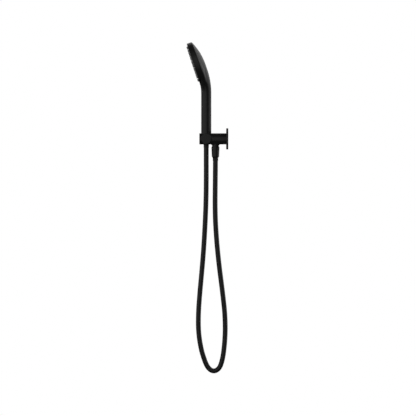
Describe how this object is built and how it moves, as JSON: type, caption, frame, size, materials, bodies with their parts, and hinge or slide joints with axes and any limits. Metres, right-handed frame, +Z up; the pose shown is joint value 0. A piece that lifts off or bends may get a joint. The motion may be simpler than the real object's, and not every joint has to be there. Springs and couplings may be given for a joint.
{
  "type": "handheld shower head",
  "caption": "Round hand shower with a slim handle, held by a wall bracket that also feeds its hanging hose through a check valve.",
  "frame": {"origin": "centre of the wall flange's back face, on the axis of the inlet thread", "axes": "+Z up, +Y into the wall along the inlet's axis, -Y out into the room, +X to the right of someone who faces the wall"},
  "size_m": [0.12, 0.1179, 0.9343],
  "materials": {
    "matte_black_paint": "satin matte black electroplated or powder coated brass",
    "black_shell": "satin matte black moulded plastic",
    "black_hose": "smooth satin black PVC",
    "seal_rubber": "matte moulded rubber",
    "nozzle_silicone": "soft light grey silicone",
    "turned_brass": "machined brass",
    "white_plastic": "natural acetal",
    "stainless": "bright stainless steel"
  },
  "bodies": {
    "wall_bracket": {"wall_flange": "matte_black_paint", "flange_gasket": "seal_rubber", "flange_oring": "seal_rubber", "inlet_insert": "turned_brass", "inlet_orings": "seal_rubber", "inlet_strainer": "stainless", "grub_screw": "stainless", "bracket_arm": "matte_black_paint", "seat_liner": "black_shell", "outlet_nipple": "matte_black_paint", "outlet_oring": "seal_rubber", "check_valve_housing": "white_plastic", "check_valve_oring": "seal_rubber", "check_valve_spring": "stainless", "outlet_washer": "seal_rubber", "outlet_nut": "matte_black_paint", "outlet_stem": "turned_brass", "outlet_ferrule": "matte_black_paint", "hose": "black_hose"},
    "check_valve_poppet": {"check_valve_poppet": "white_plastic", "check_valve_seal": "seal_rubber"},
    "hose_end": {"handset_ferrule": "matte_black_paint", "handset_stem": "turned_brass", "swivel_ring": "white_plastic"},
    "handset": {"handset_nut": "matte_black_paint", "filter_washer": "seal_rubber", "flow_regulator": "white_plastic", "inlet_connector": "turned_brass", "connector_orings": "seal_rubber", "handset_shell": "black_shell", "water_tube": "white_plastic", "tube_orings": "seal_rubber", "water_distributor": "white_plastic", "chamber_seal": "seal_rubber", "distributor_screws": "stainless", "nozzle_mat": "nozzle_silicone", "spray_plate": "black_shell", "face_ring": "black_shell", "centre_screw": "stainless", "centre_cap": "black_shell"}
  },
  "joints": [
    {"name": "handset_lift", "type": "slide", "parent": "wall_bracket", "child": "hose_end", "axis": [0, 0, 1], "range_m": [0, 0.05]},
    {"name": "handset_turn", "type": "hinge", "parent": "hose_end", "child": "handset", "pos_m": [0, -0.062, 0], "axis": [0, 0, 1], "range_deg": [-90, 90]},
    {"name": "check_valve_open", "type": "slide", "parent": "wall_bracket", "child": "check_valve_poppet", "axis": [0, 0, -1], "range_m": [0, 0.003], "stiffness_N_per_m": 100, "springref_m": -0.002, "deforming": ["check_valve_spring"]}
  ]
}
